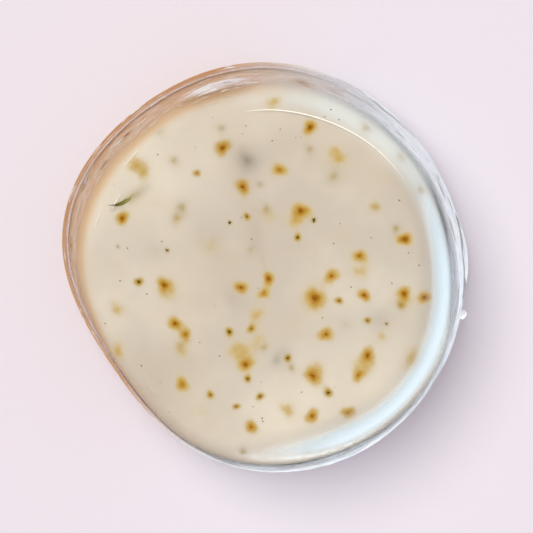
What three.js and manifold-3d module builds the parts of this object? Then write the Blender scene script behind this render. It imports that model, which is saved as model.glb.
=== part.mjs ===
// A hand-poured shaving soap puck with dried petals and herbs in it, in two clear webs of
// heat-shrink film that meet in a seam round its side. Millimetres, +Z up. The origin is the
// middle of the footprint, on the surface that the puck stands on.
import * as THREE from 'three';
import { mergeVertices } from 'three/addons/utils/BufferGeometryUtils.js';
import Module from 'manifold-3d';

const wasm = await Module();
wasm.setup();

// Driving dimensions of the soap
const SOAP_HEIGHT = 24.8;
const SOAP_RADIUS = 36.8;        // at the widest place, where the film's seam runs
const WIDEST_HEIGHT = 7.95;      // of that place, above the soap's own underside
const FOOT_RADIUS = 34.2;        // flat of the underside
const FOOT_ROUNDING = 2.4;
const SHOULDER_RADIUS = 34.4;    // where the drafted wall ends and the shoulder starts
const SHOULDER_DROP = 4.8;       // height of the rounded shoulder
const FACE_RADIUS = 30.6;        // flat of the top face

// Driving dimensions of the film
const FILM = 0.25;               // thickness, heavier than the real 0.03
const GAP = 0.3;                 // between any two pieces that touch
const FLANGE_WIDTH = 0.5;        // how far the seam stands out from the film's wall
const NUB_RADIUS = 0.9;          // bead of melted film at one end of the seam
const NUB_ANGLE = -13.5;         // degrees round from +X
const NUB_SIDES = 10;

// Driving dimensions of the dried bits
const CHIP_DEPTH = 0.7;
const CHIP_SIDES = 7;
const RAGGED = 0.09;             // share of a bit's size by which its corners go in and out
const POCKET_MARGIN = 1.25 * GAP;
const WALL_SINK = 0.15;          // how far a bit in the curved wall sits below its surface
const BUD_RADIUS = 0.8;
const BUD_SIDES = 8;
const BUD_STEPS = 6;             // from one end of the bud to the other

const SEGMENTS = 48;             // round the puck
const CURVE_STEPS = 4;           // along each rounding of the profile
const SMALLEST = 1e-4;           // vertices closer than this are one

const FLOOR = FILM + GAP;        // height of the soap's underside
const SOAP_TOP = FLOOR + SOAP_HEIGHT;
const SEAM_HEIGHT = FLOOR + WIDEST_HEIGHT;
const SHOULDER_HEIGHT = SOAP_TOP - SHOULDER_DROP;

const radians = THREE.MathUtils.degToRad;

// The puck isn't quite round: it was trimmed by hand, and is fullest between +Y and -X and
// flattest between -X and -Y. Each row is a number of lobes, their height in millimetres and
// the angle of one lobe's peak. The single lobe makes the side lean a little towards +X.
const LOBES = [
  [1, 0.85, 5],
  [2, 1.5, -56],
  [3, 0.7, 43],
  [4, 0.5, -12],
  [5, 0.25, 28],
];

// Places where the film stands off the soap: angle, half width in degrees, millimetres.
const SLACK = [
  [5, 34, 1.4],
  [285, 42, 0.5],
];

const UNEVEN_FROM = 26;          // inside this radius the puck is round

function outline(angle) {
  return LOBES.reduce((sum, [count, size, peak]) => (
    sum + size * Math.cos(count * (angle - radians(peak)))), 0);
}

function slack(angle) {
  return SLACK.reduce((sum, [middle, reach, size]) => {
    const away = Math.abs(Math.atan2(Math.sin(angle - radians(middle)),
      Math.cos(angle - radians(middle))));
    return sum + size * (0.5 + 0.5 * Math.cos(Math.PI * Math.min(1, away / radians(reach))));
  }, 0);
}

function unevenness(radius, angle, isSoap) {
  const share = THREE.MathUtils.clamp(
    (radius - UNEVEN_FROM) / (SOAP_RADIUS - UNEVEN_FROM), 0, 1);
  return share * (outline(angle) - (isSoap ? slack(angle) : 0));
}

// Closes a geometry into one body: shared vertices become one, and the triangles that a pole
// has shrunk to a line are dropped.
function weld(geometry) {
  geometry.deleteAttribute('normal');
  geometry.deleteAttribute('uv');
  const merged = mergeVertices(geometry, SMALLEST);
  const corners = merged.index.array;
  const kept = [];
  for (let i = 0; i < corners.length; i += 3) {
    const [a, b, c] = corners.subarray(i, i + 3);
    if (a !== b && b !== c && c !== a) {
      kept.push(a, b, c);
    }
  }
  merged.setIndex(kept);
  return merged;
}

function toSolid(geometry) {
  const welded = weld(geometry);
  return new wasm.Manifold(new wasm.Mesh({
    numProp: 3,
    vertProperties: new Float32Array(welded.attributes.position.array),
    triVerts: new Uint32Array(welded.index.array),
  }));
}

function toGeometry(solid) {
  const mesh = solid.getMesh();
  const geometry = new THREE.BufferGeometry();
  geometry.setAttribute('position', new THREE.BufferAttribute(mesh.vertProperties, 3));
  geometry.setIndex(new THREE.BufferAttribute(mesh.triVerts, 1));
  return geometry;
}

// Turns a profile of [radius, height] round the puck's axis, then gives it the uneven outline.
function turned(profile, isSoap) {
  const points = profile.map(([radius, height]) => new THREE.Vector2(radius, height));
  const geometry = new THREE.LatheGeometry(points, SEGMENTS);
  geometry.rotateX(Math.PI / 2);
  const place = geometry.attributes.position;
  for (let i = 0; i < place.count; i += 1) {
    const radius = Math.hypot(place.getX(i), place.getY(i));
    const angle = Math.atan2(place.getY(i), place.getX(i));
    const grown = radius + unevenness(radius, angle, isSoap);
    place.setXY(i, grown * Math.cos(angle), grown * Math.sin(angle));
  }
  return geometry;
}

// A quarter of an ellipse in the profile, from its lower end to its upper end.
function rounding(middleRadius, middleHeight, width, height, fromDegrees) {
  return Array.from({ length: CURVE_STEPS + 1 }, (_, step) => {
    const turn = radians(fromDegrees + (90 * step) / CURVE_STEPS);
    return [middleRadius + width * Math.cos(turn), middleHeight + height * Math.sin(turn)];
  });
}

const lowerProfile = [
  [0, FLOOR],
  ...rounding(FOOT_RADIUS, FLOOR + FOOT_ROUNDING, FOOT_ROUNDING, FOOT_ROUNDING, -90),
];
const upperProfile = [
  ...rounding(FACE_RADIUS, SHOULDER_HEIGHT, SHOULDER_RADIUS - FACE_RADIUS, SHOULDER_DROP, 0),
  [0, SOAP_TOP],
];
const soapProfile = [...lowerProfile, [SOAP_RADIUS, SEAM_HEIGHT], ...upperProfile];

// The soap's profile moved outwards by a distance, square to its surface.
function offset(distance) {
  const normals = soapProfile.slice(1).map(([radius, height], i) => {
    const [fromRadius, fromHeight] = soapProfile[i];
    return new THREE.Vector2(height - fromHeight, fromRadius - radius).normalize();
  });
  return soapProfile.map(([radius, height], i) => {
    const before = normals[Math.max(0, i - 1)];
    const after = normals[Math.min(i, normals.length - 1)];
    const mean = before.clone().add(after).normalize();
    const reach = distance / mean.dot(after);
    return [radius === 0 ? 0 : radius + reach * mean.x, height + reach * mean.y];
  });
}

const filmInside = offset(GAP);
const filmOutside = offset(GAP + FILM);
const WALL_INSIDE = SOAP_RADIUS + GAP;
const WALL_OUTSIDE = WALL_INSIDE + FILM;
const FLANGE_RADIUS = WALL_OUTSIDE + FLANGE_WIDTH;
const isLower = (point, i) => i < lowerProfile.length;
const isUpper = (point, i) => i > lowerProfile.length;

// The lower web: a shallow cup under the soap, with a flange round its rim.
function lowerFilm() {
  const rim = SEAM_HEIGHT - GAP / 2;
  return weld(turned([
    ...filmOutside.filter(isLower),
    [WALL_OUTSIDE, rim - FILM],
    [FLANGE_RADIUS, rim - FILM],
    [FLANGE_RADIUS, rim],
    [WALL_INSIDE, rim],
    ...filmInside.filter(isLower).reverse(),
  ], false));
}

// The upper web: a cap over the soap, with a matching flange and the bead of melted film.
function upperFilm() {
  const rim = SEAM_HEIGHT + GAP / 2;
  const cap = turned([
    ...filmInside.filter(isUpper).reverse(),
    [WALL_INSIDE, rim],
    [FLANGE_RADIUS, rim],
    [FLANGE_RADIUS, rim + FILM],
    [WALL_OUTSIDE, rim + FILM],
    ...filmOutside.filter(isUpper),
  ], false);
  const angle = radians(NUB_ANGLE);
  const reach = FLANGE_RADIUS + outline(angle) - NUB_RADIUS / 2;
  const nub = new THREE.SphereGeometry(NUB_RADIUS, NUB_SIDES, NUB_SIDES / 2);
  nub.translate(reach * Math.cos(angle), reach * Math.sin(angle), rim + NUB_RADIUS);
  return toGeometry(toSolid(cap).add(toSolid(nub)));
}

// A dried bit's outline: an uneven ring of sides, grown by a margin for the pocket round it.
function chipShape(length, width, seed, margin) {
  const corners = Array.from({ length: CHIP_SIDES }, (_, i) => {
    const turn = (i / CHIP_SIDES) * 2 * Math.PI;
    const wobble = 1 - RAGGED + RAGGED * Math.sin(2.4 * seed + 2.9 * i);
    return new THREE.Vector2(
      wobble * (length / 2 + margin) * Math.cos(turn),
      wobble * (width / 2 + margin) * Math.sin(turn));
  });
  return new THREE.Shape(corners);
}

// A slim leaf with two pointed ends.
function leafShape(length, width, seed, margin) {
  const tip = length / 2 + 2 * margin;
  const bulge = width + 2 * margin;
  const shape = new THREE.Shape();
  shape.moveTo(-tip, 0);
  shape.quadraticCurveTo(0, -bulge, tip, 0);
  shape.quadraticCurveTo(0, bulge, -tip, 0);
  return shape;
}

function slab(shape, depth) {
  const geometry = new THREE.ExtrudeGeometry(shape, {
    depth,
    bevelEnabled: false,
    curveSegments: CURVE_STEPS,
  });
  geometry.translate(0, 0, -depth);
  return geometry;
}

// A lavender bud: a plump spindle that lies on its side, fuller towards one end.
function budGeometry(length) {
  const points = Array.from({ length: BUD_STEPS + 1 }, (_, i) => {
    const along = i / BUD_STEPS;
    const radius = BUD_RADIUS * Math.sin(Math.PI * along ** 0.8) ** 0.7;
    return new THREE.Vector2(i % BUD_STEPS === 0 ? 0 : radius, (along - 0.5) * length);
  });
  const geometry = new THREE.LatheGeometry(points, BUD_SIDES);
  geometry.rotateZ(-Math.PI / 2);
  geometry.translate(0, 0, -BUD_RADIUS);
  return geometry;
}

// Bits seen in the flat top face: x, y, length, width, and the turn of the length in degrees.
const PETALS = [
  [-8, 23.5, 2, 1.8, 20],
  [2, 19.5, 1.7, 1.5, 0],
  [-4.5, 16.5, 2.1, 1.7, 70],
  [7.5, 27, 1.7, 1.4, 80],
  [24.5, 7, 1.8, 1.6, 10],
  [8.5, -3.5, 2.6, 2, 0],
  [18, -14, 1.8, 1.5, 30],
  [-4, -15.5, 1.9, 1.4, 100],
  [-16.6, -8, 1.7, 1.4, 50],
  [-14.8, -10, 1.5, 1.3, 120],
  [11.5, 0.5, 1.9, 1.3, 0],
  [16.5, 4, 1.5, 1.4, 90],
  [-18.5, -1, 1.8, 1.6, 110],
  [8, -25, 1.6, 1.4, 0],
  [14.5, -24.5, 1.5, 1.3, 0],
  [-3, -27, 1.6, 1.3, 150],
  [24.5, -2.8, 1.4, 1.2, 0],
  [28.2, -3.4, 1.5, 1.3, 60],
  [17.3, -3, 1.4, 1.2, 0],
  [0.2, 0, 1.4, 1.2, 90],
  [-0.7, -2.6, 1.3, 1.1, 0],
  [-4.8, -1.6, 1.7, 1.3, 80],
  [-15.5, -19, 2.3, 1.2, 65],
  [-25.9, 11, 1.5, 1.3, 0],
  [5.9, 12.2, 2.6, 1.4, 70],
  [8.2, -17.6, 2.8, 1.3, -35],
  [16.4, -17.5, 1.6, 1.4, 0],
  [10.4, -10.1, 1.8, 1.5, 20],
];
const HERBS = [
  [-12.6, 19, 1.1, 0.9, 0],
  [-3.7, 11.2, 1, 0.8, 90],
  [5.4, 7.4, 1.3, 1, 30],
  [-23.1, -0.4, 1.4, 1, 0],
  [10.9, -20.8, 1.6, 1.2, 0],
  [-3.6, -18.1, 1.2, 1, 0],
  [-1.4, -21.4, 1.1, 0.9, 0],
  [12.8, -4, 1.1, 1, 0],
  [-6.9, -9.5, 1.6, 1, 130],
  [-3, -9, 1.1, 0.9, 0],
  [18, -7.6, 1.1, 0.9, 0],
  [-10.4, -21, 1.2, 0.9, 20],
  [3.6, -14.4, 1.2, 0.9, 0],
  [-5.7, -23.2, 1.1, 0.9, 60],
];
const SEEDS = [
  [8.2, 10.5, 1.6, 0.8, 100],
  [-6.8, 10.1, 1, 0.8, 0],
  [21.4, -8.2, 1.1, 0.8, 0],
  [-18, 5.2, 1.3, 0.8, 0],
  [-26.7, 5.9, 0.9, 0.8, 0],
];
const LEAF = [-25, 14.2, 6.2, 1.1, 33];
const BUD = [-3.6, 21.2, 2.6, 2, 15];

// Bits seen in the drafted wall: angle round from +X, height, length along the wall, width.
const WALL_BITS = [
  [146, 17.5, 2.2, 1.2],
  [135, 15, 1.9, 1.2],
  [154, 12, 1.7, 1.2],
  [172, 13.5, 1.6, 1.2],
  [79, 17.5, 2, 1.2],
  [69, 15.5, 2.2, 1.3],
];

const soapLook = { color: 0xe6dccb, roughness: 0.42 };
const filmLook = { color: 0xf4f8fa, roughness: 0.12, transparent: true, opacity: 0.3 };
const petalLook = { color: 0xa8640f, roughness: 0.7 };
const herbLook = { color: 0x6a6212, roughness: 0.75 };
const seedLook = { color: 0x35332e, roughness: 0.6 };
const leafLook = { color: 0x6b6a2b, roughness: 0.65 };
const budLook = { color: 0x7f7a84, roughness: 0.8 };

const puck = new THREE.Group();

function part(name, geometry, look) {
  const mesh = new THREE.Mesh(geometry, new THREE.MeshStandardMaterial(look));
  mesh.name = name;
  puck.add(mesh);
  return mesh;
}

// The pocket that the soap needs for a bit, placed as the bit is.
function bury(mesh, pocket) {
  mesh.updateMatrix();
  pocket.applyMatrix4(mesh.matrix);
  return toSolid(pocket);
}

// A pocket's slab reaches above the surface, so that it is open there.
function pocketSlab(shape, depth) {
  const geometry = slab(shape, depth + 2 * GAP);
  geometry.translate(0, 0, GAP);
  return geometry;
}

function inFace(name, [x, y, length, width, turn], seed, look, shapeOf = chipShape) {
  const mesh = part(name, slab(shapeOf(length, width, seed, 0), CHIP_DEPTH), look);
  mesh.position.set(x, y, SOAP_TOP);
  mesh.rotation.z = radians(turn);
  return bury(mesh, pocketSlab(shapeOf(length, width, seed, POCKET_MARGIN), CHIP_DEPTH));
}

function inWall(name, [angle, height, length, width], seed, look) {
  const rise = SHOULDER_HEIGHT - SEAM_HEIGHT;
  const draft = SOAP_RADIUS - SHOULDER_RADIUS;
  const nominal = SOAP_RADIUS - (draft * (height - SEAM_HEIGHT)) / rise;
  const turn = radians(angle);
  const reach = nominal + unevenness(nominal, turn, true) - WALL_SINK;
  const mesh = part(name, slab(chipShape(width, length, seed, 0), CHIP_DEPTH), look);
  mesh.position.set(reach * Math.cos(turn), reach * Math.sin(turn), height);
  mesh.rotation.set(0, Math.PI / 2 - Math.atan(draft / rise), turn, 'ZYX');
  return bury(mesh, pocketSlab(chipShape(width, length, seed, POCKET_MARGIN), CHIP_DEPTH));
}

function budInFace(name, [x, y, length, width, turn], look) {
  const mesh = part(name, weld(budGeometry(length)), look);
  mesh.position.set(x, y, SOAP_TOP);
  mesh.rotation.z = radians(turn);
  return bury(mesh, pocketSlab(chipShape(length, width, 1, 2 * GAP), 2 * BUD_RADIUS));
}

const numbered = (word, i) => `${word}_${String(i + 1).padStart(2, '0')}`;
const pockets = [
  ...PETALS.map((row, i) => inFace(numbered('petal_fleck', i), row, i, petalLook)),
  ...HERBS.map((row, i) => inFace(numbered('herb_fleck', i), row, i, herbLook)),
  ...SEEDS.map((row, i) => inFace(numbered('dark_seed', i), row, i, seedLook)),
  ...WALL_BITS.map((row, i) => inWall(numbered('wall_fleck', i), row, i, petalLook)),
  inFace('herb_leaf', LEAF, 0, leafLook, leafShape),
  budInFace('lavender_bud', BUD, budLook),
];

const soap = pockets.reduce(
  (body, pocket) => body.subtract(pocket), toSolid(turned(soapProfile, true)));
part('soap_puck', toGeometry(soap), soapLook);
part('shrink_film_bottom', lowerFilm(), filmLook);
part('shrink_film_top', upperFilm(), filmLook);

// The middle of the footprint becomes the origin.
const middle = new THREE.Box3().setFromObject(puck).getCenter(new THREE.Vector3());
const group = new THREE.Group();
puck.position.set(-middle.x, -middle.y, 0);
group.add(puck);

export default group;
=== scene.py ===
# %% [markdown]
# # A shaving soap puck in shrink film
# The imported model is the fixed frame: it says where the soap, the film and every dried bit lie.
# This lesson gives each of them its looks. The soap is a milky body stained by what floats in it,
# the dried bits are ragged scraps, and the film is a thin crinkled skin with a seam. The frame is
# loaded first, and its box is kept.

# %% Load the frame
import math

import bpy
import numpy as np
from mathutils import Matrix, Vector
from mathutils.bvhtree import BVHTree


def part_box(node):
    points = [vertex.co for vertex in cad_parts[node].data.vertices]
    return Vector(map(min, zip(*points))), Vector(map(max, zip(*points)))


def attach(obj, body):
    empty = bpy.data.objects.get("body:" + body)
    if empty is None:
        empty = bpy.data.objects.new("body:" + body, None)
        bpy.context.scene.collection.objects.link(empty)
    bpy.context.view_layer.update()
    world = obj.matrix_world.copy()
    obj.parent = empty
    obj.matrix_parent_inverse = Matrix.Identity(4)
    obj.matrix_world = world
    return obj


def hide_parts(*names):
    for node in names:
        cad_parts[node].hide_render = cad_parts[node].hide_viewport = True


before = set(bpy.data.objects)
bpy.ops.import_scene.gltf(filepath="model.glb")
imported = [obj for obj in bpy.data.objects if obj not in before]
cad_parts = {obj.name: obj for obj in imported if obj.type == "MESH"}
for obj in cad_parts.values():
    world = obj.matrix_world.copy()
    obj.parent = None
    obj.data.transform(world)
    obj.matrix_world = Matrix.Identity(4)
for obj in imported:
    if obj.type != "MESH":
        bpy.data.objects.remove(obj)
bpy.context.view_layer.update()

MM = 0.001
soap_low, soap_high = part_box("soap_puck")
cup_low, cup_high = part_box("shrink_film_bottom")
cap_low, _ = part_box("shrink_film_top")

# %% [markdown]
# ## The uneven outline
# A poured puck that was trimmed by hand isn't quite round. The outline is a circle plus a few
# lobes, and a slack that says how far the film stands off the soap at each angle. Both are the
# same rules that the solids follow, so the looks fit them. The axis of the puck is found from
# the film's box, because the frame's origin is the middle of the footprint and not the axis.

# %% Outline, slack and the puck's axis
SOAP_RADIUS = 36.8
FOOT_RADIUS = 34.2
FOOT_ROUNDING = 2.4
SHOULDER_RADIUS = 34.4
SHOULDER_DROP = 4.8
FACE_RADIUS = 30.6
UNEVEN_FROM = 26.0
FLANGE_RADIUS = 37.85
SEGMENTS = 440

FLOOR = soap_low.z / MM
SOAP_TOP = soap_high.z / MM
SEAM = (cup_high.z + cap_low.z) / 2 / MM

LOBES = [(1, 0.85, 5), (2, 1.5, -56), (3, 0.7, 43), (4, 0.5, -12), (5, 0.25, 28)]
SLACK = [(5, 34, 1.4), (285, 42, 0.5)]
ANGLES = np.linspace(0, 2 * np.pi, SEGMENTS, endpoint=False)


def hump(angle, middle, reach):
    """1 at the middle angle, falling smoothly to 0 at reach degrees from it."""
    away = np.abs(np.angle(np.exp(1j * (angle - np.radians(middle)))))
    return 0.5 + 0.5 * np.cos(np.pi * np.minimum(1, away / np.radians(reach)))


def on_side(angle, middle, reach, strength):
    """1 on one side of the puck, easing to 0 at reach degrees from its middle."""
    return np.clip(strength * hump(angle, middle, reach), 0, 1)


def outline(angle):
    """How far the outline lies outside its circle, in mm."""
    return sum(size * np.cos(count * (angle - np.radians(peak))) for count, size, peak in LOBES)


def slack(angle):
    """How far the film stands off the soap, in mm."""
    return sum(size * hump(angle, middle, reach) for middle, reach, size in SLACK)


rim = FLANGE_RADIUS + outline(ANGLES)
rim_x = rim * np.cos(ANGLES)
rim_y = rim * np.sin(ANGLES)
cup_middle = (cup_low + cup_high) / 2 / MM
AXIS = np.array([
    cup_middle.x - (rim_x.min() + rim_x.max()) / 2,
    cup_middle.y - (rim_y.min() + rim_y.max()) / 2,
    0.0,
])
print("axis of the puck in mm", AXIS.round(2))

# %% [markdown]
# ## From a profile to a skin
# The soap and both webs of film are turned shapes, so one helper makes them all: it takes a
# profile of radius and height from the bottom up, turns it round the axis through the uneven
# outline, and joins the rings with quads. A pole is one vertex with a fan of triangles, which
# keeps the skin closed. A profile is grown along its normals to get from the soap to the film.

# %% Profile and skin helpers
def run(start, end, pitch):
    """Even steps from start towards end, without the end itself."""
    count = max(1, round(math.dist(start, end) / pitch))
    return [tuple(np.add(start, np.subtract(end, start) * i / count)) for i in range(count)]


def rounding(middle, width, height, from_degrees, steps):
    turns = np.radians(np.linspace(from_degrees, from_degrees + 90, steps, endpoint=False))
    return list(zip(middle[0] + width * np.cos(turns), middle[1] + height * np.sin(turns)))


def softened(profile, passes):
    """The same profile with its corners eased by averaging each point with its neighbours."""
    eased = np.array(profile, float)
    for _ in range(passes):
        eased[1:-1] = (eased[:-2] + 2 * eased[1:-1] + eased[2:]) / 4
    return eased


def grown(profile, distance):
    """The profile moved along its outward normals."""
    along = np.gradient(profile, axis=0)
    normal = np.stack([along[:, 1], -along[:, 0]], axis=1)
    normal /= np.linalg.norm(normal, axis=1, keepdims=True)
    return profile + distance * normal


def turned(profile, for_soap):
    """Rings of points, in mm about the puck's axis: an array of rings, angles and x, y, z."""
    radius = profile[:, :1]
    share = np.clip((radius - UNEVEN_FROM) / (SOAP_RADIUS - UNEVEN_FROM), 0, 1)
    uneven = outline(ANGLES) - (slack(ANGLES) if for_soap else 0)
    reach = radius + share * uneven
    height = np.broadcast_to(profile[:, 1:], reach.shape)
    return np.stack([reach * np.cos(ANGLES), reach * np.sin(ANGLES), height], axis=-1)


def link(data, name):
    """A new object in the scene that shows a mesh, a curve, a light or a camera."""
    thing = bpy.data.objects.new(name, data)
    bpy.context.scene.collection.objects.link(thing)
    return thing


def skin(name, rings, first=None, last=None):
    """A smooth skin over rings of points in mm; first and last are points that close its ends."""
    count, around, _ = rings.shape
    points = rings.reshape(-1, 3)
    ring, step = np.meshgrid(np.arange(count - 1), np.arange(around), indexing="ij")
    after = (step + 1) % around
    corners = [(ring, step), (ring, after), (ring + 1, after), (ring + 1, step)]
    quads = np.stack([r * around + s for r, s in corners], axis=-1).reshape(-1, 4)
    faces = quads.tolist()
    if first is not None:
        faces += [(len(points), (i + 1) % around, i) for i in range(around)]
        points = np.vstack([points, first])
    if last is not None:
        end = (count - 1) * around
        faces += [(end + i, end + (i + 1) % around, len(points)) for i in range(around)]
        points = np.vstack([points, last])
    mesh = bpy.data.meshes.new(name)
    mesh.from_pydata(((points + AXIS) * MM).tolist(), [], faces)
    mesh.polygons.foreach_set("use_smooth", [True] * len(faces))
    mesh.update()
    return link(mesh, name)


def points_of(thing):
    """A mesh's points in mm about the puck's axis."""
    flat = np.empty(len(thing.data.vertices) * 3)
    thing.data.vertices.foreach_get("co", flat)
    return flat.reshape(-1, 3) / MM - AXIS


def mark(thing, name, values):
    """Stores a number or a vector for each point of a mesh, for a material or tree to read."""
    values = np.asarray(values, np.float32)
    is_vector = values.ndim == 2
    layer = thing.data.attributes.new(name, "FLOAT_VECTOR" if is_vector else "FLOAT", "POINT")
    layer.data.foreach_set("vector" if is_vector else "value", values.ravel())


# %% [markdown]
# ## Shader maths as Python
# A `Wire` wraps one output socket and turns Python operators into Math nodes, so a mask reads
# like a formula. Colours go through Mix and vectors through Vector Math. Every other node comes
# from `Palette.node`, which sets a node's settings first and then its sockets.

# %% Wire and Palette
def add_node(tree, kind, settings, sockets):
    """A new node: its settings are made first, then each socket gets a value or a link."""
    made = tree.nodes.new(kind)
    for key, value in (settings or {}).items():
        setattr(made, key, value)
    for key, value in (sockets or {}).items():
        if isinstance(value, bpy.types.NodeSocket):
            tree.links.new(value, made.inputs[key])
        else:
            made.inputs[key].default_value = value
    return made


class Wire:
    """An output socket that can be used in expressions."""

    def __init__(self, palette, socket):
        self.palette = palette
        self.socket = socket

    def maths(self, operation, *values, clamp=False):
        settings = {"operation": operation, "use_clamp": clamp}
        return self.palette.node("ShaderNodeMath", settings, dict(enumerate(values)))

    def __add__(self, other):
        return self.maths("ADD", self, other)

    def __mul__(self, other):
        return self.maths("MULTIPLY", self, other)

    def __sub__(self, other):
        return self.maths("SUBTRACT", self, other)

    def __rsub__(self, other):
        return self.maths("SUBTRACT", other, self)

    def __pow__(self, other):
        return self.maths("POWER", self, other)

    __radd__ = __add__
    __rmul__ = __mul__

    def clamped(self):
        return self.maths("ADD", self, 0, clamp=True)

    def smooth(self, start, end):
        """0 below start and 1 above end, with a smooth rise between."""
        settings = {"interpolation_type": "SMOOTHSTEP"}
        sockets = {"Value": self, "From Min": start, "From Max": end}
        return self.palette.node("ShaderNodeMapRange", settings, sockets)


class Palette:
    """A material, or the world, and the helpers that fill its node tree."""

    def __init__(self, owner):
        self.owner = owner
        owner.use_nodes = True
        self.tree = owner.node_tree
        self.tree.nodes.clear()

    def node(self, kind, settings=None, sockets=None, output=0):
        plain = {key: getattr(value, "socket", value) for key, value in (sockets or {}).items()}
        made = add_node(self.tree, kind, settings, plain)
        return Wire(self, made.outputs[output]) if made.outputs else made

    def attribute(self, name, output="Fac"):
        return self.node("ShaderNodeAttribute", {"attribute_name": name}, output=output)

    def place(self):
        return self.node("ShaderNodeTexCoord", output="Object")

    def noise(self, scale, detail=2.0, roughness=0.5, vector=None, output="Fac"):
        sockets = {"Scale": scale, "Detail": detail, "Roughness": roughness,
                   "Vector": vector or self.place()}
        return self.node("ShaderNodeTexNoise", {}, sockets, output)

    def stretched(self, factors, vector=None):
        """Coordinates with each axis scaled, for grain that runs one way."""
        sockets = {0: vector or self.place(), 1: factors}
        return self.node("ShaderNodeVectorMath", {"operation": "MULTIPLY"}, sockets)

    def mix(self, factor, first, second):
        """first where the factor is 0 and second where it is 1; colours are RGB tuples or wires."""
        first, second = ((*c, 1) if isinstance(c, tuple) else c for c in (first, second))
        sockets = {0: factor, 6: first, 7: second}
        return self.node("ShaderNodeMix", {"data_type": "RGBA"}, sockets, 2)

    def ramp(self, factor, stops):
        made = self.node("ShaderNodeValToRGB", {}, {"Fac": factor}, "Color")
        elements = made.socket.node.color_ramp.elements
        while len(elements) < len(stops):
            elements.new(1)
        for element, (place, colour) in zip(elements, stops):
            element.position = place
            element.color = (*colour, 1)
        return made

    def bump(self, height, strength, distance):
        sockets = {"Height": height, "Strength": strength, "Distance": distance}
        return self.node("ShaderNodeBump", {}, sockets)

    def surface(self, sockets):
        return self.node("ShaderNodeBsdfPrincipled", {}, sockets)

    def finish(self, shader, kind="ShaderNodeOutputMaterial"):
        self.node(kind, {}, {"Surface": shader})
        return self.owner


def new_finish(name):
    """The palette of a new, empty material."""
    return Palette(bpy.data.materials.new(name))


def rgb(red, green, blue):
    """A colour given as it looks on a screen, 0 to 255, turned into the linear light of a shader."""
    def linear(value):
        share = value / 255
        return share / 12.92 if share <= 0.04045 else ((share + 0.055) / 1.055) ** 2.4
    return tuple(linear(value) for value in (red, green, blue))


# %% [markdown]
# ## Camera, floor and light
# The puck is looked at from nearly straight above, a little from its +Y side, so that a strip of
# its wall shows there. A pale floor, one broad soft key from the upper left, a cool window at the
# right and a sky that is a little brighter at the left make a plain studio. A second, low window
# in front lights only the film and the dried bits, so that the creases of the film stand out.

# %% Camera
LOOK_AT = Vector(AXIS * MM) + Vector((0.0003, 0.0006, 0.012))
CAMERA_OFFSET = Vector((-0.0125, 0.039, 0.326))
LENS = 119.0

eye = link(bpy.data.cameras.new("camera"), "camera")
bpy.context.scene.camera = eye
back = CAMERA_OFFSET.normalized()
right = Vector((0, 1, 0)).cross(back).normalized()
eye.location = LOOK_AT + CAMERA_OFFSET
eye.rotation_euler = Matrix((right, back.cross(right), back)).transposed().to_euler()
eye.data.lens = LENS
print("camera at", [round(c, 3) for c in eye.location])

# %% Floor
BACKDROP = rgb(240, 229, 235)
FLOOR_HALF = 3.0

floor_mesh = bpy.data.meshes.new("floor")
corners = [(-1, -1), (1, -1), (1, 1), (-1, 1)]
floor_mesh.from_pydata([(x * FLOOR_HALF, y * FLOOR_HALF, 0) for x, y in corners], [], [(0, 1, 2, 3)])
floor = link(floor_mesh, "floor")
paper = new_finish("floor_paper")
paper_tone = paper.mix(paper.noise(900.0), rgb(241, 237, 244), rgb(243, 239, 246))
floor.data.materials.append(paper.finish(paper.surface({"Base Color": paper_tone, "Roughness": 0.9})))

# %% Key light and windows
KEY_COLOUR = (1.0, 0.99, 0.975)
KEY_STRENGTH = 1.86
KEY_FROM = Vector((-0.37, 0.43, 1.0))
KEY_ANGLE = math.radians(38)
WINDOW_SIZE = 0.30
WINDOW_COLOUR = (0.78, 0.92, 1.0)
WINDOW_POWER = 0.9
WINDOW_AT = Vector((0.42, -0.12, 0.17))
LOW_COLOUR = (0.88, 0.95, 1.0)
LOW_POWER = 1.2
LOW_AT = Vector((0.08, -0.42, 0.15))


def lamp(name, kind, colour, energy, towards, **settings):
    """A light whose beam runs from towards to the origin; an area light also stands there."""
    made = bpy.data.lights.new(name, kind)
    made.color = colour
    made.energy = energy
    for key, value in settings.items():
        setattr(made, key, value)
    thing = link(made, name)
    thing.rotation_euler = towards.to_track_quat("Z", "Y").to_euler()
    thing.location = towards
    return thing


key = lamp("key", "SUN", KEY_COLOUR, KEY_STRENGTH, KEY_FROM, angle=KEY_ANGLE)
# The smooth film would mirror the key as a hard white disc.
key.visible_glossy = False
window = lamp("window", "AREA", WINDOW_COLOUR, WINDOW_POWER, WINDOW_AT, size=WINDOW_SIZE)
low_window = lamp("low_window", "AREA", LOW_COLOUR, LOW_POWER, LOW_AT, size=WINDOW_SIZE)


def spare(light, *things):
    """Keeps a light off some objects, so that it only brightens the others."""
    spared = bpy.data.collections.new(f"not_lit_by_{light.name}")
    for number, thing in enumerate(things):
        spared.objects.link(thing)
        spared.collection_objects[number].light_linking.link_state = "EXCLUDE"
    light.light_linking.receiver_collection = spared


spare(window, floor)

# %% Sky
LEFT_SKY = (0.550, 0.518, 0.528)
RIGHT_SKY = (0.385, 0.310, 0.325)
TOWARDS_RIGHT = (0.8, -0.5, 0.0)

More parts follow.
